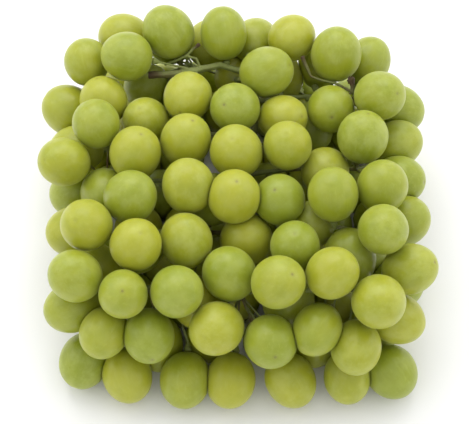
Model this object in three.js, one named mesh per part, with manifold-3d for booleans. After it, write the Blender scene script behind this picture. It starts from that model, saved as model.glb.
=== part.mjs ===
// A bunch of pale green table grapes, cut with its stem and lying on a flat surface.
// The stem (cut end, main stalk, side branches, one short stalk to every berry) is one node.
// The berries on show are nodes of their own; the others are pressed together in clumps.
// Millimetres, +X right, +Y away from the viewer, +Z up, origin under the middle of the bunch.
import * as THREE from "three";
import { ConvexGeometry } from "three/addons/geometries/ConvexGeometry.js";
import { mergeVertices } from "three/addons/utils/BufferGeometryUtils.js";
import Module from "manifold-3d";

const wasm = await Module();
wasm.setup();

// ---------- driving dimensions ----------

const SPREAD_X = 0.96; // squeezes or stretches the places below; at 0.96 it lies about 190 wide
const SPREAD_Y = 0.96; // the same away from the viewer
const SPREAD_Z = 1; // the same upwards
const PRESSED_HEIGHT = 78; // berries higher than this are pressed down among the others
const BERRY_WIDTH = 23.4; // across a typical berry
const BERRY_ASPECT = 1.12; // its length from stalk to tip over its width
const WIDTH_VARIATION = 0.06; // share by which widths differ to either side
const ASPECT_VARIATION = 0.06;
const BERRY_GAP = 0.3; // between pieces that are separate nodes
const PRESSED_SHARE = 0.1; // of a berry's length: how far two of one clump press into each other
const RESTING_FLAT = 0.9; // how far a berry on the surface is flattened by its load
const AXIS_LEAN = 0.25; // how far a berry nods away from the line of its stalk

const PEDUNCLE_RADIUS = 2; // main stalk at its cut end
const RACHIS_TIP_RADIUS = 1.4;
const BRANCH_RADIUS = 1.4;
const BRANCH_TIP_RADIUS = 1;
const TWIG_RADIUS = 0.75; // bare twig that has lost its berries
const NECK_SHARE = 0.35; // part of a stalk that runs straight into its berry
const LONG_STALK = 10; // beyond this length the straight part grows no more
const PEDICEL_RADIUS = 0.75; // short stalk of one berry
const RECEPTACLE_RADIUS = 1.6; // its swollen end under the berry

const PRESSED = PRESSED_SHARE * BERRY_WIDTH * BERRY_ASPECT;

const LONE_BERRIES = 40; // berries that are nodes of their own
const CLUMPS = 19; // nodes that share the other berries
const CROWDING = 0.8; // gap in mm that a clump rather bridges than grow by one more berry
const LONELINESS = 4; // berries by which a clump counts as smaller when it takes a lone one in

// ---------- where things lie ----------

// Main stalk: from the cut end on top at the back left, right and down into the heap, then forward.
const RACHIS = [
  [-44, 62, 54],
  [-25, 62, 56],
  [-7, 66, 57],
  [5, 63, 54],
  [10, 50, 42],
  [8, 28, 32],
  [2, 3, 29],
  [-2, -24, 29],
  [2, -50, 30],
];

// Side branches: the share of the main stalk's length they leave at, and where each of them ends.
const BRANCHES = [
  [0.14, [-24, 78, 42]],
  [0.38, [56, 56, 44]],
  [0.48, [-60, 38, 33]],
  [0.6, [60, 16, 38]],
  [0.64, [-64, 10, 36]],
  [0.75, [62, -16, 32]],
  [0.8, [-62, -18, 31]],
  [0.9, [58, -48, 30]],
  [0.94, [-57, -50, 30]],
];

// Bare twigs: the radius of the knob each ends in, and the places it runs through.
const TWIGS = [
  [0.8, [[-17.5, 63.8, 56.6], [-19.6, 67.8, 60], [-24.7, 68.6, 61], [-30, 68, 58], [-36, 68, 55]]],
  [1.2, [[-24.7, 68.6, 61], [-21.6, 71.1, 63], [-18, 72, 66]]],
  [1.8, [[56, 56, 44], [61, 46, 51], [58.6, 48.4, 58], [58, 54, 62]]],
  [1.2, [[58.6, 48.4, 58], [50.2, 53.1, 59], [43.3, 55, 59], [37.8, 56.7, 60], [33.3, 64.4, 66]]],
];

// Berries on show, most prominent first: [x, y, z] of the middle and, where the berry doesn't
// follow its stalk, [x, y, z] of the way its tip points.
const SHOWN = [
  [-67, 24, 63],
  [62, 19, 63, [0.2, 0.6, 0.8]],
  [70, -11, 62],
  [44, -17, 63, [0, 0.9, 0.5]],
  [-78, 6, 58],
  [-53, -17, 63],
  [-48, 10, 62],
  [-68, -36, 63],
  [-45, -43, 63],
  [-73, -51, 57],
  [-52, -64, 58],
  [-27, -64, 58],
  [20, -58, 60],
  [43, -59, 61, [0.9, 0.4, 0.3]],
  [63, -66, 56, [0.1, -0.7, 0.8]],
  [71, -39, 59],
  [77, -47, 50],
  [29, -37, 55],
  [53, -34, 46],
  [-21, -38, 56],
  [-1, -48, 52],
  [-53, 81, 56],
  [-71, 71, 56],
  [-58, 64, 63],
  [-38, 75, 62],
  [-6, 75, 60],
  [14, 60, 62],
  [30, 74, 60],
  [51, 62, 62],
  [64, 73, 52],
  [47, 41, 58],
  [67, 42, 58],
  [-66, 48, 52],
  [-22, 40, 61],
  [1, 34, 62],
  [24, 38, 60],
  [-24, 16, 62],
  [0, 10, 63],
  [24, 14, 62],
  [42, 8, 52],
  [-25, -10, 62],
  [-2, -15, 63],
  [21, -12, 62],
  [-63, -74, 36],
  [-39, -76, 37],
  [-9, -71, 44],
  [15, -77, 38, [0, -0.8, 0.6]],
  [39, -73, 42],
  [59, -79, 34],
  [-77, 51, 46],
  [-80, 30, 38],
  [-80, 7, 36],
  [-62, -4, 44],
  [-76, -18, 42],
  [-75, -44, 37],
  [79, 50, 46],
  [80, 28, 44],
  [80, 8, 46],
  [82, -22, 42],
  [78, -62, 38],
  [-80, -63, 36],
  [-47, 38, 54],
  [-20, 84, 46],
  [28, 66, 42],
  [46, 78, 44],
  [-36, 90, 44],
  [48, -24, 46],
  [-56, -26, 42],
  [-74, -76, 12],
  [-50, -83, 12],
  [-25, -84, 12],
  [0, -85, 12],
  [25, -84, 12],
  [50, -83, 12],
  [75, -77, 12],
  [-66, 84, 12],
  [-42, 90, 12],
  [-18, 91, 12],
  [6, 91, 12],
  [30, 90, 12],
  [54, 86, 12],
];

// The rest of the heap: level layers of a staggered pattern inside a rounded outline.
const OUTLINE_X = 84; // how far the middles of berries lie from the middle of the heap
const OUTLINE_Y = 84;
const OUTLINE_SQUARENESS = 3.6; // 2 is an ellipse, more is nearer a rectangle
const LAYERS = [12, 31, 48];
const PITCH = 1.04 * BERRY_WIDTH;
const ROOM_NEEDED = 0.76 * PITCH; // to the next berry already placed
const ROOM_TO_WOOD = 0.55 * BERRY_WIDTH;

// ---------- small helpers ----------

const UP = new THREE.Vector3(0, 0, 1);

const vector = ([x, y, z]) => new THREE.Vector3(x, y, z);

const spread = ([x, y, z]) => new THREE.Vector3(x * SPREAD_X, y * SPREAD_Y, z * SPREAD_Z);

// A number from -1 to 1 that depends only on the two given.
function scatter(index, kind) {
  const wave = Math.sin(index * 12.9898 + kind * 78.233) * 43758.5453;
  return 2 * (wave - Math.floor(wave)) - 1;
}

function nearestOnSegment(point, { from, to }) {
  const along = to.clone().sub(from);
  const share = point.clone().sub(from).dot(along) / along.lengthSq();
  return from.clone().addScaledVector(along, THREE.MathUtils.clamp(share, 0, 1));
}

// ---------- skeleton of the stem ----------

const rachis = new THREE.CatmullRomCurve3(RACHIS.map(spread));

function branchCurve([share, end]) {
  const start = rachis.getPointAt(share);
  const tip = spread(end);
  const middle = start.clone().lerp(tip, 0.5);
  middle.y += 3;
  middle.z -= 2;
  return new THREE.CatmullRomCurve3([start, middle, tip]);
}

function limbAlong(curve, steps, startRadius, endRadius) {
  const points = curve.getSpacedPoints(steps);
  const radii = points.map((_, i) => THREE.MathUtils.lerp(startRadius, endRadius, i / steps));
  return { points, radii };
}

const limbs = [limbAlong(rachis, 14, PEDUNCLE_RADIUS, RACHIS_TIP_RADIUS)];
for (const branch of BRANCHES) {
  limbs.push(limbAlong(branchCurve(branch), 5, BRANCH_RADIUS, BRANCH_TIP_RADIUS));
}
for (const [knobRadius, places] of TWIGS) {
  const points = places.map(spread);
  limbs.push({ points, radii: points.map((_, i) => (points[i + 1] ? TWIG_RADIUS : knobRadius)) });
}

const FREE_PEDUNCLE_SEGMENTS = 3; // no berry hangs from the first part of the main stalk
const woodSegments = limbs.flatMap(({ points, radii }, limb) =>
  points.slice(1).map((to, i) => ({
    from: points[i],
    to,
    radius: Math.max(radii[i], radii[i + 1]),
    bearing: limb > BRANCHES.length ? false : limb > 0 || i >= FREE_PEDUNCLE_SEGMENTS,
  })),
);

// ---------- the berries' places ----------

function makeBerry(index, home, tip, onFloor) {
  const width = BERRY_WIDTH * (1 + WIDTH_VARIATION * scatter(index, 1));
  const aspect = BERRY_ASPECT * (1 + ASPECT_VARIATION * scatter(index, 2));
  return {
    index,
    home,
    onFloor,
    at: home.clone(),
    tip: tip && vector(tip).normalize(),
    axis: UP.clone(),
    lean: vector([scatter(index, 3), scatter(index, 4), scatter(index, 5)]),
    halfWidth: width / 2,
    halfLength: (width * aspect) / 2,
    stalk: [new THREE.Vector3(), new THREE.Vector3(), new THREE.Vector3()],
  };
}

const berries = SHOWN.map(([x, y, z, tip], i) => makeBerry(i, spread([x, y, z]), tip, false));

function insideOutline(x, y) {
  const wide = Math.abs(x / OUTLINE_X) ** OUTLINE_SQUARENESS;
  const deep = Math.abs(y / OUTLINE_Y) ** OUTLINE_SQUARENESS;
  return wide + deep <= 1;
}

function hasRoom(home) {
  const clearOfBerries = berries.every((other) => other.home.distanceTo(home) > ROOM_NEEDED);
  const clearOfWood = woodSegments.every(
    (segment) => nearestOnSegment(home, segment).distanceTo(home) > ROOM_TO_WOOD,
  );
  return clearOfBerries && clearOfWood;
}

function fillLayer(z, layer) {
  const rowPitch = (PITCH * Math.sqrt(3)) / 2;
  const rows = Math.ceil(OUTLINE_Y / rowPitch);
  const columns = Math.ceil(OUTLINE_X / PITCH) + 1;
  for (let row = -rows; row <= rows; row++) {
    const shift = (row + layer) % 2 ? 0.5 : 0;
    for (let column = -columns; column <= columns; column++) {
      const x = (column + shift) * PITCH;
      const y = (row + layer / 3) * rowPitch;
      const home = spread([x, y, z]);
      if (insideOutline(x, y) && hasRoom(home)) {
        berries.push(makeBerry(berries.length, home, null, layer === 0));
      }
    }
  }
}
LAYERS.forEach(fillLayer);

// How far a berry reaches from its middle in a direction.
function reach(berry, direction) {
  const along = direction.dot(berry.axis);
  const { halfWidth, halfLength } = berry;
  return Math.sqrt(halfWidth ** 2 + (halfLength ** 2 - halfWidth ** 2) * along ** 2);
}

// Hangs a berry from the nearest wood. Its stalk is three points: the last part follows the axis.
function hang(berry) {
  let nearest = null;
  let distance = Infinity;
  for (const segment of woodSegments) {
    if (!segment.bearing) continue;
    const point = nearestOnSegment(berry.at, segment);
    const away = point.distanceTo(berry.at);
    if (away < distance) {
      distance = away;
      nearest = point;
    }
  }
  const outward = berry.at.clone().sub(nearest).normalize();
  berry.axis.copy(outward).addScaledVector(berry.lean, AXIS_LEAN);
  if (berry.tip) berry.axis.copy(berry.tip).addScaledVector(outward, 0.5);
  berry.axis.normalize();
  const [root, neck, end] = berry.stalk;
  root.copy(nearest);
  end.copy(berry.at).addScaledVector(berry.axis, -berry.halfLength - BERRY_GAP);
  neck.copy(end).addScaledVector(berry.axis, -NECK_SHARE * Math.min(root.distanceTo(end), LONG_STALK));
}

// Moves two berries along the line between them until they are as far apart as they need.
function separate(one, other, pressedIn, onlyIfClose) {
  const apart = other.at.clone().sub(one.at);
  const distance = apart.length();
  apart.divideScalar(distance || 1);
  const short = reach(one, apart) + reach(other, apart) - pressedIn - distance;
  if (onlyIfClose && short < 0) return;
  one.at.addScaledVector(apart, -short / 2);
  other.at.addScaledVector(apart, short / 2);
}

// Moves a berry out of a round bar.
function clearBar(berry, bar, barRadius) {
  const away = berry.at.clone().sub(nearestOnSegment(berry.at, bar));
  const distance = away.length() || 1;
  away.divideScalar(distance);
  const short = reach(berry, away) + barRadius + BERRY_GAP - distance;
  if (short > 0) berry.at.addScaledVector(away, short);
}

const SETTLING_STEPS = 700;
const HOME_PULL = 0.06;
const LINK_PASSES = 4; // a berry with several links needs a few rounds to suit them all

// Lets the berries push each other, the wood and the stalks aside until they are clear of them.
// The berries of a clump may press into each other, and the linked ones always do.
function settle(links, areTogether) {
  for (let step = 0; step < SETTLING_STEPS; step++) {
    const pull = HOME_PULL * Math.max(0, 1 - (1.6 * step) / SETTLING_STEPS);
    for (const berry of berries) {
      berry.at.lerp(berry.home, pull);
      hang(berry);
    }
    for (const one of berries) {
      for (const other of berries.slice(one.index + 1)) {
        separate(one, other, areTogether(one, other) ? PRESSED : -BERRY_GAP, true);
      }
    }
    for (const berry of berries) {
      for (const segment of woodSegments) clearBar(berry, segment, segment.radius);
      for (const other of berries) {
        if (other === berry || other.at.distanceTo(berry.at) > 2.2 * BERRY_WIDTH) continue;
        const [from, neck, to] = other.stalk;
        clearBar(berry, { from, to: neck }, PEDICEL_RADIUS);
        clearBar(berry, { from: neck, to }, PEDICEL_RADIUS);
      }
    }
    for (const berry of berries) {
      const rest = reach(berry, UP) - RESTING_FLAT;
      if (berry.onFloor || berry.at.z < rest) berry.at.z = rest;
      berry.at.z = Math.min(berry.at.z, PRESSED_HEIGHT * SPREAD_Z - reach(berry, UP));
    }
    for (let pass = 0; pass < LINK_PASSES; pass++) {
      for (const [one, other] of links) separate(one, other, PRESSED, false);
    }
  }
  berries.forEach(hang);
}

settle([], () => false);

// ---------- clumps ----------

const clumpOf = berries.map((_, i) => (i < LONE_BERRIES ? -1 : i));
const links = [];
const clumpSize = (clump) => clumpOf.filter((other) => other === clump).length;

function closestPairs(members) {
  const pairs = [];
  members.forEach((a, i) =>
    members.slice(i + 1).forEach((b) => {
      const apart = b.at.clone().sub(a.at);
      const distance = apart.length();
      apart.normalize();
      const gap = distance - reach(a, apart) - reach(b, apart);
      if (gap < BERRY_WIDTH) pairs.push({ a, b, gap });
    }),
  );
  return pairs;
}

// The closest clumps join each other, small ones first, until only the wanted number is left.
function joinIntoClumps() {
  const members = berries.slice(LONE_BERRIES);
  const pairs = closestPairs(members);
  for (let count = members.length; count > CLUMPS; count--) {
    const cost = ({ a, b, gap }) => {
      const sizes = [a, b].map(({ index }) => clumpSize(clumpOf[index]));
      return gap + CROWDING * (sizes[0] + sizes[1] - (sizes.includes(1) ? LONELINESS : 0));
    };
    const open = pairs.filter(({ a, b }) => clumpOf[a.index] !== clumpOf[b.index]);
    const costs = open.map(cost);
    const { a, b } = open[costs.indexOf(Math.min(...costs))];
    const [kept, lost] = [clumpOf[a.index], clumpOf[b.index]];
    clumpOf.forEach((clump, i) => {
      if (clump === lost) clumpOf[i] = kept;
    });
    links.push([a, b]);
  }
}
joinIntoClumps();

const inOneClump = (a, b) => clumpOf[a.index] >= 0 && clumpOf[a.index] === clumpOf[b.index];
settle(links, inOneClump);

// ---------- solids ----------

function solidOf(geometry) {
  geometry.deleteAttribute("normal");
  geometry.deleteAttribute("uv");
  const merged = mergeVertices(geometry, 1e-3);
  return new wasm.Manifold(
    new wasm.Mesh({
      numProp: 3,
      vertProperties: merged.attributes.position.array,
      triVerts: new Uint32Array(merged.index.array),
    }),
  );
}

function unionOf(solids) {
  return solids.reduce((sum, solid) => sum.add(solid));
}

function largestBody(solid) {
  return solid.decompose().reduce((most, body) => (body.volume() > most.volume() ? body : most));
}

function geometryOf(solid) {
  const { vertProperties, triVerts } = solid.getMesh();
  const geometry = new THREE.BufferGeometry();
  geometry.setAttribute("position", new THREE.BufferAttribute(vertProperties, 3));
  geometry.setIndex(new THREE.BufferAttribute(triVerts, 1));
  geometry.computeVertexNormals();
  return geometry;
}

// A closed bar of round section through the points, with its own radius at each of them.
function barSolid(points, radii, sides) {
  const position = [];
  const index = [];
  const normal = new THREE.Vector3(0.31, 0.17, 0.93);
  points.forEach((point, i) => {
    const before = points[Math.max(i - 1, 0)];
    const after = points[Math.min(i + 1, points.length - 1)];
    const tangent = after.clone().sub(before).normalize();
    normal.addScaledVector(tangent, -normal.dot(tangent)).normalize();
    const side = tangent.clone().cross(normal);
    for (let k = 0; k < sides; k++) {
      const turn = (2 * Math.PI * k) / sides;
      const corner = point
        .clone()
        .addScaledVector(normal, radii[i] * Math.cos(turn))
        .addScaledVector(side, radii[i] * Math.sin(turn));
      position.push(corner.x, corner.y, corner.z);
    }
  });
  for (let i = 0; i + 1 < points.length; i++) {
    for (let k = 0; k < sides; k++) {
      const a = i * sides + k;
      const b = i * sides + ((k + 1) % sides);
      index.push(a, b, b + sides, a, b + sides, a + sides);
    }
  }
  const last = (points.length - 1) * sides;
  for (let k = 1; k + 1 < sides; k++) {
    index.push(0, k + 1, k, last, last + k, last + k + 1);
  }
  const geometry = new THREE.BufferGeometry();
  geometry.setAttribute("position", new THREE.Float32BufferAttribute(position, 3));
  geometry.setIndex(index);
  return solidOf(geometry);
}

const LIMB_SIDES = 6;
const STALK_SIDES = 4;

function stemSolid(clearance) {
  const stalkRadii = [PEDICEL_RADIUS, PEDICEL_RADIUS, RECEPTACLE_RADIUS];
  const bars = [
    ...limbs.map(({ points, radii }) => ({ points, radii, sides: LIMB_SIDES })),
    ...berries.map(({ stalk }) => ({ points: stalk, radii: stalkRadii, sides: STALK_SIDES })),
  ];
  return unionOf(
    bars.map(({ points, radii, sides }) =>
      barSolid(
        points,
        radii.map((radius) => radius + clearance),
        sides,
      ),
    ),
  );
}

// Corners of a ball of 60 equal faces: those of an icosahedron and the middles of its faces.
function ballCorners() {
  const { position } = new THREE.IcosahedronGeometry(1, 0).attributes;
  const corners = [];
  for (let face = 0; face < position.count; face += 3) {
    const three = [0, 1, 2].map((k) => new THREE.Vector3().fromBufferAttribute(position, face + k));
    const center = three[0].clone().add(three[1]).add(three[2]).normalize();
    corners.push(...three, center);
  }
  return corners;
}
const BALL_CORNERS = ballCorners();

// The berry is flat where it rests on the surface and where a berry of another node presses on it.
function berrySolid(berry) {
  const { at, axis, halfWidth, halfLength } = berry;
  const geometry = new ConvexGeometry(BALL_CORNERS);
  geometry.scale(halfWidth, halfWidth, halfLength);
  geometry.applyQuaternion(new THREE.Quaternion().setFromUnitVectors(UP, axis));
  geometry.translate(at.x, at.y, at.z);
  const flats = [{ outward: UP.clone().negate(), limit: 0 }];
  for (const other of berries) {
    const outward = other.at.clone().sub(at);
    const distance = outward.length();
    if (other === berry || distance > 2 * BERRY_WIDTH || inOneClump(berry, other)) continue;
    outward.normalize();
    const [mine, theirs] = [reach(berry, outward), reach(other, outward)];
    const short = mine + theirs + BERRY_GAP - distance;
    if (short > 0) flats.push({ outward, limit: outward.dot(at) + mine - short / 2 });
  }
  const { position } = geometry.attributes;
  const corner = new THREE.Vector3();
  for (let i = 0; i < position.count; i++) {
    corner.fromBufferAttribute(position, i);
    for (const { outward, limit } of flats) {
      corner.addScaledVector(outward, Math.min(0, limit - outward.dot(corner)));
    }
    position.setXYZ(i, corner.x, corner.y, corner.z);
  }
  return solidOf(geometry);
}

// ---------- the named pieces ----------

const bunch = new THREE.Group();
bunch.name = "bunch_of_grapes";

function addNode(name, solid, color, roughness) {
  const material = new THREE.MeshStandardMaterial({ color, roughness, metalness: 0 });
  const mesh = new THREE.Mesh(geometryOf(solid), material);
  mesh.name = name;
  bunch.add(mesh);
}

const stem = largestBody(stemSolid(0));
const stemWithRoom = stemSolid(BERRY_GAP);
addNode("stem", stem, 0x7c7a3c, 0.8);

// Where a berry is still in the way of the stem, the stem keeps a groove in it.
function clearOfStem(solid) {
  if (solid.intersect(stem).isEmpty()) return solid;
  return largestBody(solid.subtract(stemWithRoom));
}

const numbered = (name, number) => `${name}_${String(number).padStart(2, "0")}`;

berries.slice(0, LONE_BERRIES).forEach((berry, i) => {
  addNode(numbered("berry", i + 1), clearOfStem(berrySolid(berry)), 0xb4bf5e, 0.35);
});

[...new Set(clumpOf.slice(LONE_BERRIES))].forEach((clump, i) => {
  const members = berries.filter((berry) => clumpOf[berry.index] === clump);
  const clumpSolid = clearOfStem(unionOf(members.map(berrySolid)));
  addNode(numbered("clump", i + 1), clumpSolid, 0xaab852, 0.35);
});

// Puts the origin on the surface under the middle of the bunch.
const box = new THREE.Box3().setFromObject(bunch);
const middle = box.getCenter(new THREE.Vector3());
bunch.position.set(-middle.x, -middle.y, -box.min.z);

export default bunch;
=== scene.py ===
"""Looks of a bunch of pale green grapes that lies on a pale floor. Metres, in the row frame."""

import math

import bmesh
import bpy
import numpy as np
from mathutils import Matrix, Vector


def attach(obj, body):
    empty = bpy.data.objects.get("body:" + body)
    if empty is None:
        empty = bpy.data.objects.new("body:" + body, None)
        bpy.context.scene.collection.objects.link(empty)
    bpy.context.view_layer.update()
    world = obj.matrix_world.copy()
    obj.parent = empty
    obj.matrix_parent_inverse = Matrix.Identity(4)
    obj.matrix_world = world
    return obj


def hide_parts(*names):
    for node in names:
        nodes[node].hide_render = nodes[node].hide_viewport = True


MM = 0.001
TURN = 2 * math.pi

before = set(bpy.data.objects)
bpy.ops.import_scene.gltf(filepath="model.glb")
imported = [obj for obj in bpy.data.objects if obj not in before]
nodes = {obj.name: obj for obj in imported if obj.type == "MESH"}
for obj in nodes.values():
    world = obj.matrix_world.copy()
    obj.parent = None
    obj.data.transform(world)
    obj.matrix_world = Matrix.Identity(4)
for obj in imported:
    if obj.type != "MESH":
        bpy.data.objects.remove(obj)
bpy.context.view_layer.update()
rng = np.random.default_rng(20)


# ---------- berries: read back from the CAD solids ----------

WELD = 0.003 * MM
CREASE_ANGLE = -0.03  # radians: an edge that folds in more than this parts two berries
FLOOR_FLAT = 0.01 * MM  # corners lower than this lie on the flat under a berry
FEWEST_CORNERS = 12


def welded(node):
    """The node's mesh with corners at the same place joined."""
    bm = bmesh.new()
    bm.from_mesh(node.data)
    bmesh.ops.remove_doubles(bm, verts=bm.verts, dist=WELD)
    bm.normal_update()
    return bm


def patches(bm):
    """Sets of corners, one for each ball: balls meet in concave edges."""
    creases = {
        edge
        for edge in bm.edges
        if len(edge.link_faces) == 2 and edge.calc_face_angle_signed() < CREASE_ANGLE
    }
    on_crease = {vert for edge in creases for vert in edge.verts}
    unseen = set(bm.faces)
    found = []
    for first in bm.faces:
        if first not in unseen:
            continue
        unseen.discard(first)
        stack, members = [first], []
        while stack:
            face = stack.pop()
            members.append(face)
            for edge in face.edges:
                if edge in creases:
                    continue
                for other in edge.link_faces:
                    if other in unseen:
                        unseen.discard(other)
                        stack.append(other)
        corners = {vert for face in members for vert in face.verts} - on_crease
        found.append(np.array([vert.co[:] for vert in corners if vert.co.z > FLOOR_FLAT]))
    return [points for points in found if len(points) >= FEWEST_CORNERS]


def spheroid(points):
    """Middle, long axis, half width and half length of the spheroid through the points."""
    mean = points.mean(0)
    size = np.abs(points - mean).max()
    x, y, z = ((points - mean) / size).T
    squares = [x * x, y * y, z * z, 2 * x * y, 2 * x * z, 2 * y * z]
    terms = np.stack([*squares, 2 * x, 2 * y, 2 * z], 1)
    v = np.linalg.lstsq(terms, np.ones(len(points)), rcond=None)[0]
    shape = np.array([[v[0], v[3], v[4]], [v[3], v[1], v[5]], [v[4], v[5], v[2]]])
    centre = -np.linalg.solve(shape, v[6:])
    values, vectors = np.linalg.eigh(shape / (1 + centre @ shape @ centre))
    radii = size / np.sqrt(values)
    longest = int(np.argmax(radii))
    return {
        "at": mean + centre * size,
        "axis": vectors[:, longest],
        "width": float(np.delete(radii, longest).mean()),
        "length": float(radii[longest]),
    }


stem_mesh = welded(nodes["stem"])
stem_points = np.array([vert.co[:] for vert in stem_mesh.verts])
berries = []
for name in sorted(nodes):
    if name == "stem":
        continue
    mesh = welded(nodes[name])
    for points in patches(mesh):
        berry = spheroid(points)
        berry["node"] = name
        poles = [berry["at"] + sign * berry["length"] * berry["axis"] for sign in (1, -1)]
        near = [np.linalg.norm(stem_points - pole, axis=1).min() for pole in poles]
        if near[0] < near[1]:
            berry["axis"] = -berry["axis"]
        berry["luck"] = rng.random(6)
        berries.append(berry)
    mesh.free()


# ---------- berry skins ----------

AROUND = 56  # quads round a berry
ALONG = 40  # rings from tip to stalk end
CONTACT_SOFTNESS = 0.25 * MM
CONTACT_GAP = 0.04 * MM
NEIGHBOUR_REACH = 32 * MM  # berries whose middles are further apart never touch
TIP_PIT = 0.28 * MM
TIP_PIT_WIDTH = 1.0 * MM
STALK_SINK = 0.35 * MM
STALK_SINK_WIDTH = 2.6 * MM
# Shares of a berry's half width.
THREE_LOBES = 0.005
LEAN_SHARE = 0.006
WAVE_SHARE = 0.004
SKIN_INSET = 0.006
MOST_TAPER = 0.05
PHASES = 6.28


def soft_limit(distance, softness):
    """Lets distance through below 0 and bends it smoothly to stay under 0."""
    scaled = np.clip(distance / softness, -60, 60)
    return np.where(distance < -40 * softness, distance, -softness * np.log1p(np.exp(-scaled)))


def unit_sphere():
    """Points of a sphere by rings, its tip at +Z, and its faces."""
    points = [(0.0, 0.0, 1.0)]
    for ring in range(1, ALONG):
        polar = math.pi * ring / ALONG
        out, up = math.sin(polar), math.cos(polar)
        for step in range(AROUND):
            turn = TURN * step / AROUND
            points.append((out * math.cos(turn), out * math.sin(turn), up))
    points.append((0.0, 0.0, -1.0))
    last = len(points) - 1
    faces = []
    for step in range(AROUND):
        after = (step + 1) % AROUND
        faces.append((0, 1 + step, 1 + after))
        for ring in range(ALONG - 2):
            a, b = 1 + ring * AROUND, 1 + (ring + 1) * AROUND
            faces.append((a + step, b + step, b + after, a + after))
        start = 1 + (ALONG - 2) * AROUND
        faces.append((last, start + after, start + step))
    return np.array(points), faces


SPHERE, SPHERE_FACES = unit_sphere()


def reach(berry, direction):
    """How far the spheroid's surface is from its middle along the direction."""
    along = direction @ berry["axis"]
    across = 1 - along * along
    return 1 / math.sqrt(along**2 / berry["length"] ** 2 + across / berry["width"] ** 2)


def skin_points(berry):
    """The berry's free surface: slightly lobed and uneven, with a pit at its tip."""
    luck = berry["luck"]
    x, y, z = SPHERE.T
    turn = np.arctan2(y, x)
    across = np.sqrt(x * x + y * y)
    lobes = THREE_LOBES * (across**2) * np.cos(3 * turn + PHASES * luck[0])
    lobes += LEAN_SHARE * across * np.cos(turn + PHASES * luck[1]) * z
    waves = WAVE_SHARE * np.sin(5.1 * x + 7 * luck[2])
    waves = waves * np.sin(4.3 * y + 5 * luck[3]) * np.sin(3.7 * z + luck[4])
    swell = 1 + lobes + waves - SKIN_INSET
    taper = 1 - (MOST_TAPER * luck[5] - 0.01) * z
    width = berry["width"] * swell * taper
    # The tip's scar is a shallow pit, and the stalk end sinks a little round the stalk.
    outward = across * berry["width"]
    pit = TIP_PIT * np.exp(-((outward / TIP_PIT_WIDTH) ** 2)) * (z > 0)
    sink = STALK_SINK * np.exp(-((outward / STALK_SINK_WIDTH) ** 2)) * (z < 0)
    height = berry["length"] * swell * z - pit + sink
    axis = Vector(berry["axis"])
    turned = np.array(axis.to_track_quat("Z", "Y").to_matrix())
    local = np.stack([x * width, y * width, height], 1)
    return local @ turned.T + berry["at"]


def press(points, berry, others):
    """Flattens the surface against the berries it is pressed into, and against the floor."""
    for other in others:
        apart = other["at"] - berry["at"]
        distance = np.linalg.norm(apart)
        direction = apart / distance
        mine, theirs = reach(berry, direction), reach(other, direction)
        pressed = mine + theirs - distance
        if pressed <= 0:
            continue
        limit = mine - pressed / 2 - CONTACT_GAP
        beyond = (points - berry["at"]) @ direction - limit
        points = points + np.outer(soft_limit(beyond, CONTACT_SOFTNESS) - beyond, direction)
    under = -points[:, 2]
    points[:, 2] = -soft_limit(under, CONTACT_SOFTNESS)
    return points


def attribute(mesh, name, kind, values):
    """Stores one vector or colour for each corner of the mesh."""
    layer = mesh.attributes.new(name, kind, "POINT")
    key = "color" if kind == "FLOAT_COLOR" else "vector"
    layer.data.foreach_set(key, np.asarray(values, dtype=np.float32).ravel())


def berry_piece(name, members, material):
    """One piece for a CAD node: each of its berries as a skin of its own."""
    points, faces, local, luck = [], [], [], []
    for berry in members:
        start = len(points) * len(SPHERE)
        near = [
            other
            for other in berries
            if other is not berry and np.linalg.norm(other["at"] - berry["at"]) < NEIGHBOUR_REACH
        ]
        points.append(press(skin_points(berry), berry, near))
        faces += [tuple(start + k for k in face) for face in SPHERE_FACES]
        local.append(SPHERE)
        luck.append(np.tile([*berry["luck"][:3], 1.0], (len(SPHERE), 1)))
    mesh = bpy.data.meshes.new(name)
    mesh.from_pydata(np.concatenate(points), [], faces)
    mesh.update()
    mesh.shade_smooth()
    attribute(mesh, "skin", "FLOAT_VECTOR", np.concatenate(local))
    attribute(mesh, "luck", "FLOAT_COLOR", np.concatenate(luck))
    mesh.materials.append(material)
    piece = bpy.data.objects.new(name, mesh)
    bpy.context.collection.objects.link(piece)
    return piece


# ---------- material helpers ----------


class Nodes:
    """Adds and links shader nodes in few words."""

    def __init__(self, name):
        self.material = bpy.data.materials.new(name)
        self.material.use_nodes = True
        self.tree = self.material.node_tree
        self.shader = self.tree.nodes["Principled BSDF"]

    def add(self, kind, inputs=None, **settings):
        node = self.tree.nodes.new("ShaderNode" + kind)
        for key, value in settings.items():
            setattr(node, key, value)
        for key, value in (inputs or {}).items():
            self.feed(node.inputs[key], value)
        return node

    def feed(self, socket, value):
        if isinstance(value, bpy.types.NodeSocket):
            self.tree.links.new(value, socket)
        else:
            socket.default_value = value

    def math(self, operation, *values):
        return self.add("Math", dict(enumerate(values)), operation=operation).outputs[0]

    def vector(self, operation, first, second):
        node = self.add("VectorMath", {0: first, 1: second}, operation=operation)
        return node.outputs[0]

    def scaled(self, vector, factors):
        return self.vector("MULTIPLY", vector, factors)

    def noise(self, vector, scale, detail=3.0, roughness=0.5):
        inputs = {"Vector": vector, "Scale": scale, "Detail": detail, "Roughness": roughness}
        return self.add("TexNoise", inputs).outputs["Fac"]

    def ramp(self, value, low, high):
        """0 on the far side of low, 1 on the far side of high, and smooth between."""
        inputs = {"Value": value, "From Min": low, "From Max": high}
        return self.add("MapRange", inputs, interpolation_type="SMOOTHSTEP").outputs["Result"]

    def mix(self, share, first, second):
        node = self.add("Mix", data_type="RGBA")
        self.feed(node.inputs[0], share)
        self.feed(node.inputs[6], first)
        self.feed(node.inputs[7], second)
        return node.outputs[2]

    def bump(self, height, distance, strength):
        inputs = {"Height": height, "Distance": distance, "Strength": strength}
        return self.add("Bump", inputs).outputs["Normal"]


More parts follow.
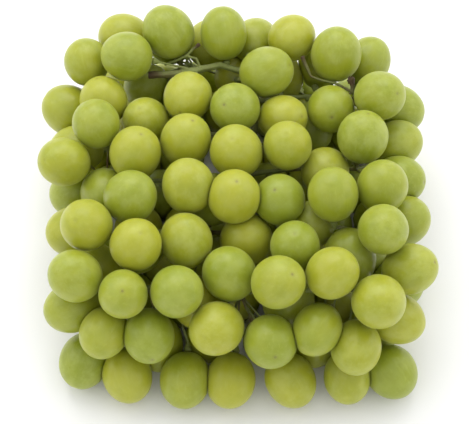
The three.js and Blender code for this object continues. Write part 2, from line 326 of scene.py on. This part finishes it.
# Berry colours.
GREEN = (0.265, 0.315, 0.022, 1)
YELLOW_GREEN = (0.385, 0.392, 0.026, 1)
DEEP_GREEN = (0.20, 0.245, 0.018, 1)
VEIN = (0.56, 0.58, 0.16, 1)
BLOOM = (0.52, 0.56, 0.19, 1)
CORK = (0.24, 0.18, 0.05, 1)
SCAR = (0.15, 0.12, 0.04, 1)

SCATTER = 8.0 * MM  # how far light spreads in the flesh
SKIN_GRAIN = 0.12 * MM


def grape_skin():
    """Pale green skin: flesh, veins, corky dots, bloom and the scar at the tip."""
    n = Nodes("grape_skin")
    skin = n.add("Attribute", attribute_name="skin").outputs["Vector"]
    luck = n.add("Attribute", attribute_name="luck").outputs["Vector"]
    parts = n.add("SeparateXYZ", {0: luck}).outputs
    local = n.add("SeparateXYZ", {0: skin}).outputs
    apart = n.scaled(luck, (41.0, 67.0, 53.0))
    place = n.vector("ADD", skin, apart)
    # Flesh: green to yellow green from berry to berry, and softly mottled.
    mottle = n.math("MULTIPLY", n.math("SUBTRACT", n.noise(place, 1.1), 0.5), 0.9)
    ripeness = n.math("ADD", parts[0], mottle)
    color = n.mix(n.ramp(ripeness, -0.1, 1.1), GREEN, YELLOW_GREEN)
    deep = n.ramp(n.noise(place, 2.3, 4.0), 0.45, 0.75)
    color = n.mix(n.math("MULTIPLY", deep, 0.14), color, DEEP_GREEN)
    # Pale veins under the skin run from stalk to tip.
    drawn = n.vector("ADD", n.scaled(skin, (1.0, 1.0, 0.12)), apart)
    veins = n.ramp(n.noise(drawn, 7.0, 3.0, 0.6), 0.52, 0.72)
    color = n.mix(n.math("MULTIPLY", veins, 0.11), color, VEIN)
    # Greener round the stalk.
    rim = n.ramp(local[2], -0.86, -0.995)
    color = n.mix(n.math("MULTIPLY", rim, 0.35), color, DEEP_GREEN)
    # Small corky dots and a rare rusty scuff.
    cells = n.add("TexVoronoi", {"Vector": place, "Scale": 8.5}).outputs["Distance"]
    dots = n.math("MULTIPLY", n.ramp(cells, 0.085, 0.05), n.ramp(n.noise(place, 3.0), 0.48, 0.6))
    color = n.mix(n.math("MULTIPLY", dots, 0.35), color, CORK)
    scuff = n.ramp(n.noise(place, 3.4, 8.0, 0.68), 0.70, 0.78)
    color = n.mix(n.math("MULTIPLY", scuff, 0.45), color, CORK)
    # Waxy bloom: a thin pale haze, rubbed off in places.
    haze = n.ramp(n.noise(place, 1.7, 5.0, 0.62), 0.36, 0.66)
    haze = n.math("MULTIPLY", haze, n.math("ADD", 0.10, n.math("MULTIPLY", parts[1], 0.20)))
    color = n.mix(haze, color, BLOOM)
    # The tip's scar.
    off_axis = n.math("ADD", n.math("POWER", local[0], 2.0), n.math("POWER", local[1], 2.0))
    facing = n.math("GREATER_THAN", local[2], 0.0)
    marked = n.math("MULTIPLY", facing, n.ramp(parts[2], 0.25, 1.0))
    scar = n.math("MULTIPLY", n.ramp(off_axis, 0.0045, 0.0008), marked)
    halo = n.math("MULTIPLY", n.ramp(off_axis, 0.022, 0.003), marked)
    color = n.mix(n.math("MULTIPLY", halo, 0.18), color, CORK)
    color = n.mix(n.math("MULTIPLY", scar, 0.5), color, SCAR)
    n.feed(n.shader.inputs["Base Color"], color)
    grain = n.noise(place, 34.0, 2.0)
    rough = n.math("ADD", 0.30, n.math("MULTIPLY", haze, 0.5))
    rough = n.math("ADD", rough, n.math("MULTIPLY", grain, 0.08))
    n.feed(n.shader.inputs["Roughness"], rough)
    height = n.math("ADD", n.math("MULTIPLY", grain, 0.35), n.noise(place, 5.0, 4.0))
    height = n.math("ADD", height, n.math("MULTIPLY", dots, 0.5))
    n.feed(n.shader.inputs["Normal"], n.bump(height, SKIN_GRAIN, 0.8))
    n.shader.inputs["IOR"].default_value = 1.42
    n.shader.inputs["Subsurface Weight"].default_value = 1.0
    n.shader.inputs["Subsurface Radius"].default_value = (1.0, 1.0, 0.3)
    n.shader.inputs["Subsurface Scale"].default_value = SCATTER
    n.shader.inputs["Sheen Weight"].default_value = 0.08
    n.shader.inputs["Sheen Roughness"].default_value = 0.45
    n.shader.inputs["Sheen Tint"].default_value = (0.95, 1.0, 0.55, 1)
    n.shader.inputs["Coat Weight"].default_value = 0.12
    n.shader.inputs["Coat Roughness"].default_value = 0.22
    return n.material


skin = grape_skin()
for name in sorted({berry["node"] for berry in berries}):
    members = [berry for berry in berries if berry["node"] == name]
    piece = berry_piece(name + "_skin", members, skin)
    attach(piece, "root")
    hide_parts(name)


# ---------- stem ----------

# Stalk colours.
FRESH_STALK = (0.21, 0.245, 0.065, 1)
OLD_STALK = (0.15, 0.15, 0.05, 1)
BROWN_STALK = (0.13, 0.075, 0.03, 1)
DRY_STALK = (0.075, 0.042, 0.02, 1)

VOXEL = 0.34 * MM
SMOOTHING_PASSES = 6
BARK = 0.25 * MM
BAR_SIDES = 12
# A collar under each berry, in millimetres: steps into the berry along its axis, and radii.
COLLAR_STEPS = (0.35, -0.15, -0.8, -1.7, -3.0)
COLLAR_RADII = (1.0, 1.75, 1.95, 1.4, 0.9)
# Shrivelled bits round the dried node: shares of their length, and radii in millimetres.
DRIED_BITS = 9
DRIED_BIT_LENGTH = 2.6
DRIED_BIT_STEPS = (0.0, 0.55, 1.0)
DRIED_BIT_RADII = (0.9, 0.6, 0.25)
DRIED_NODE = (57.0, 46.4, 62.0)
# Millimetres: the cut end and the ends of the bare twigs, and how far each has dried.
DRY_PLACES = [
    ((-40.6, 55.4, 54.0), 7.0),
    ((-15.7, 65.0, 66.0), 4.0),
    (DRIED_NODE, 6.0),
    ((33.6, 57.7, 66.0), 4.0),
]
BARK_WAVE = 0.07 * MM  # how uneven the bark is


def add_bar(bm, points, radii):
    """A closed round bar through the points, with a radius at each."""
    rings = []
    normal = Vector((0.31, 0.17, 0.93))
    for i, point in enumerate(points):
        tangent = (points[min(i + 1, len(points) - 1)] - points[max(i - 1, 0)]).normalized()
        normal = (normal - tangent * normal.dot(tangent)).normalized()
        side = tangent.cross(normal)
        turns = [TURN * k / BAR_SIDES for k in range(BAR_SIDES)]
        spokes = [normal * math.cos(turn) + side * math.sin(turn) for turn in turns]
        rings.append([bm.verts.new(point + spoke * radii[i]) for spoke in spokes])
    for one, two in zip(rings, rings[1:]):
        for k in range(BAR_SIDES):
            after = (k + 1) % BAR_SIDES
            bm.faces.new((one[k], one[after], two[after], two[k]))
    bm.faces.new(rings[0][::-1])
    bm.faces.new(rings[-1])


def stem_material():
    """Green stalk with brown patches and warts, dry and dark where it was cut."""
    n = Nodes("stem_wood")
    place = n.add("TexCoord").outputs["Object"]
    wood = n.add("Attribute", attribute_name="wood").outputs["Vector"]
    tint = n.add("SeparateXYZ", {0: wood}).outputs
    large = n.noise(place, 60.0, 3.0)
    small = n.noise(place, 420.0, 5.0, 0.6)
    age = n.math("ADD", tint[0], n.math("SUBTRACT", large, 0.5))
    color = n.mix(n.ramp(age, 0.15, 0.95), FRESH_STALK, OLD_STALK)
    color = n.mix(n.ramp(large, 0.52, 0.72), color, BROWN_STALK)
    cells = n.add("TexVoronoi", {"Vector": place, "Scale": 900.0}).outputs["Distance"]
    warts = n.ramp(cells, 0.28, 0.12)
    color = n.mix(n.math("MULTIPLY", warts, 0.5), color, BROWN_STALK)
    color = n.mix(n.ramp(small, 0.6, 0.8), color, BROWN_STALK)
    color = n.mix(tint[1], color, DRY_STALK)
    n.feed(n.shader.inputs["Base Color"], color)
    n.feed(n.shader.inputs["Roughness"], n.math("ADD", 0.55, n.math("MULTIPLY", small, 0.3)))
    height = n.math("ADD", small, n.math("MULTIPLY", warts, 0.6))
    n.feed(n.shader.inputs["Normal"], n.bump(height, BARK, 0.9))
    n.shader.inputs["Subsurface Weight"].default_value = 0.1
    n.shader.inputs["Subsurface Radius"].default_value = (1.0, 0.9, 0.4)
    n.shader.inputs["Subsurface Scale"].default_value = 0.8 * MM
    return n.material


def stem_piece():
    """The CAD stem with a collar under each berry and bits on the dried node, rounded off."""
    bm = stem_mesh.copy()
    for berry in berries:
        axis = Vector(berry["axis"])
        end = Vector(berry["at"]) - axis * berry["length"]
        places = [end + axis * step * MM for step in COLLAR_STEPS]
        add_bar(bm, places, [radius * MM for radius in COLLAR_RADII])
    dried = Vector(DRIED_NODE) * MM
    for _ in range(DRIED_BITS):
        way = Vector(rng.normal(0, 1, 3)).normalized() * DRIED_BIT_LENGTH * MM
        places = [dried + way * step for step in DRIED_BIT_STEPS]
        add_bar(bm, places, [radius * MM for radius in DRIED_BIT_RADII])
    mesh = bpy.data.meshes.new("stem_look")
    bm.to_mesh(mesh)
    bm.free()
    piece = bpy.data.objects.new("stem_look", mesh)
    bpy.context.collection.objects.link(piece)
    remesh = piece.modifiers.new("remesh", "REMESH")
    remesh.mode = "VOXEL"
    remesh.voxel_size = VOXEL
    smooth = piece.modifiers.new("smooth", "SMOOTH")
    smooth.iterations = SMOOTHING_PASSES
    smooth.factor = 0.5
    bpy.context.view_layer.update()
    evaluated = piece.evaluated_get(bpy.context.evaluated_depsgraph_get())
    solid = bpy.data.meshes.new_from_object(evaluated)
    piece.modifiers.clear()
    piece.data = solid
    solid.name = "stem_look"
    return piece


def weather_stem(piece):
    """Makes the stem uneven and says where it is green, old or dry."""
    mesh = piece.data
    count = len(mesh.vertices)
    points = np.empty(count * 3)
    normals = np.empty(count * 3)
    mesh.vertices.foreach_get("co", points)
    mesh.vertices.foreach_get("normal", normals)
    points, normals = points.reshape(-1, 3), normals.reshape(-1, 3)
    ends = np.array([berry["at"] - berry["axis"] * berry["length"] for berry in berries])
    nearest = np.full(count, np.inf)
    for end in ends:
        nearest = np.minimum(nearest, ((points - end) ** 2).sum(1))
    nearest = np.sqrt(nearest)
    wave = np.zeros(count)
    for k in range(1, 5):
        phase = points @ rng.normal(0, 420.0 * k, 3) + PHASES * rng.random()
        wave += np.sin(phase) / k
    grow = BARK_WAVE * wave * np.clip((nearest - 1.5 * MM) / (4 * MM), 0, 1)
    mesh.vertices.foreach_set("co", (points + normals * grow[:, None]).ravel())
    age = np.clip((nearest - 3 * MM) / (14 * MM), 0, 1)
    dry = np.zeros(count)
    for at, spread in DRY_PLACES:
        distance = np.linalg.norm(points - np.array(at) * MM, axis=1)
        dry = np.maximum(dry, np.clip(1.3 - distance / (spread * MM), 0, 1))
    attribute(mesh, "wood", "FLOAT_VECTOR", np.stack([age, dry, np.zeros(count)], 1))
    mesh.shade_smooth()


stem = stem_piece()
weather_stem(stem)
stem.data.materials.clear()
stem.data.materials.append(stem_material())
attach(stem, "root")
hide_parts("stem")


# ---------- floor, light and camera ----------


FLOOR_HALF = 3.0
FLOOR_TONES = ((0.86, 0.86, 0.86, 1), (0.89, 0.89, 0.89, 1))


def floor_piece():
    mesh = bpy.data.meshes.new("floor")
    half = FLOOR_HALF
    corners = [(-half, -half, 0), (half, -half, 0), (half, half, 0), (-half, half, 0)]
    mesh.from_pydata(corners, [], [(0, 1, 2, 3)])
    n = Nodes("floor")
    place = n.add("TexCoord").outputs["Object"]
    tone = n.noise(place, 3.0)
    n.feed(n.shader.inputs["Base Color"], n.mix(tone, *FLOOR_TONES))
    n.shader.inputs["Roughness"].default_value = 0.6
    mesh.materials.append(n.material)
    floor = bpy.data.objects.new("floor", mesh)
    bpy.context.collection.objects.link(floor)
    return floor


floor_piece()


def area_light(name, at, size, energy, target):
    """A soft rectangular light that faces the target."""
    light = bpy.data.lights.new(name, "AREA")
    light.shape = "RECTANGLE"
    light.size, light.size_y = size
    light.energy = energy
    lamp = bpy.data.objects.new(name, light)
    bpy.context.collection.objects.link(lamp)
    lamp.location = at
    lamp.rotation_euler = (Vector(target) - Vector(at)).to_track_quat("-Z", "Y").to_euler()


MIDDLE = (0, 0, 0.04)
area_light("top", (-0.1, 0.6, 1.0), (1.0, 0.8), 6.4, MIDDLE)
area_light("left", (-0.9, 0.2, 0.7), (0.7, 0.7), 1.6, MIDDLE)
area_light("right", (0.9, 0.2, 0.6), (0.7, 0.7), 1.4, MIDDLE)

world = bpy.data.worlds.new("world")
bpy.context.scene.world = world
world.use_nodes = True
world.node_tree.nodes["Background"].inputs["Color"].default_value = (1, 1, 1, 1)
world.node_tree.nodes["Background"].inputs["Strength"].default_value = 1.02

ELEVATION = math.radians(59.1)
DISTANCE = 0.70
LENS = 112.8
TARGET = Vector((0.0017, -0.0108, 0.035))
camera_data = bpy.data.cameras.new("camera")
camera_data.lens = LENS
camera = bpy.data.objects.new("camera", camera_data)
bpy.context.collection.objects.link(camera)
camera.location = TARGET + DISTANCE * Vector((0, -math.cos(ELEVATION), math.sin(ELEVATION)))
camera.rotation_euler = (TARGET - camera.location).to_track_quat("-Z", "Y").to_euler()
bpy.context.scene.camera = camera
bpy.context.scene.view_settings.view_transform = "Standard"
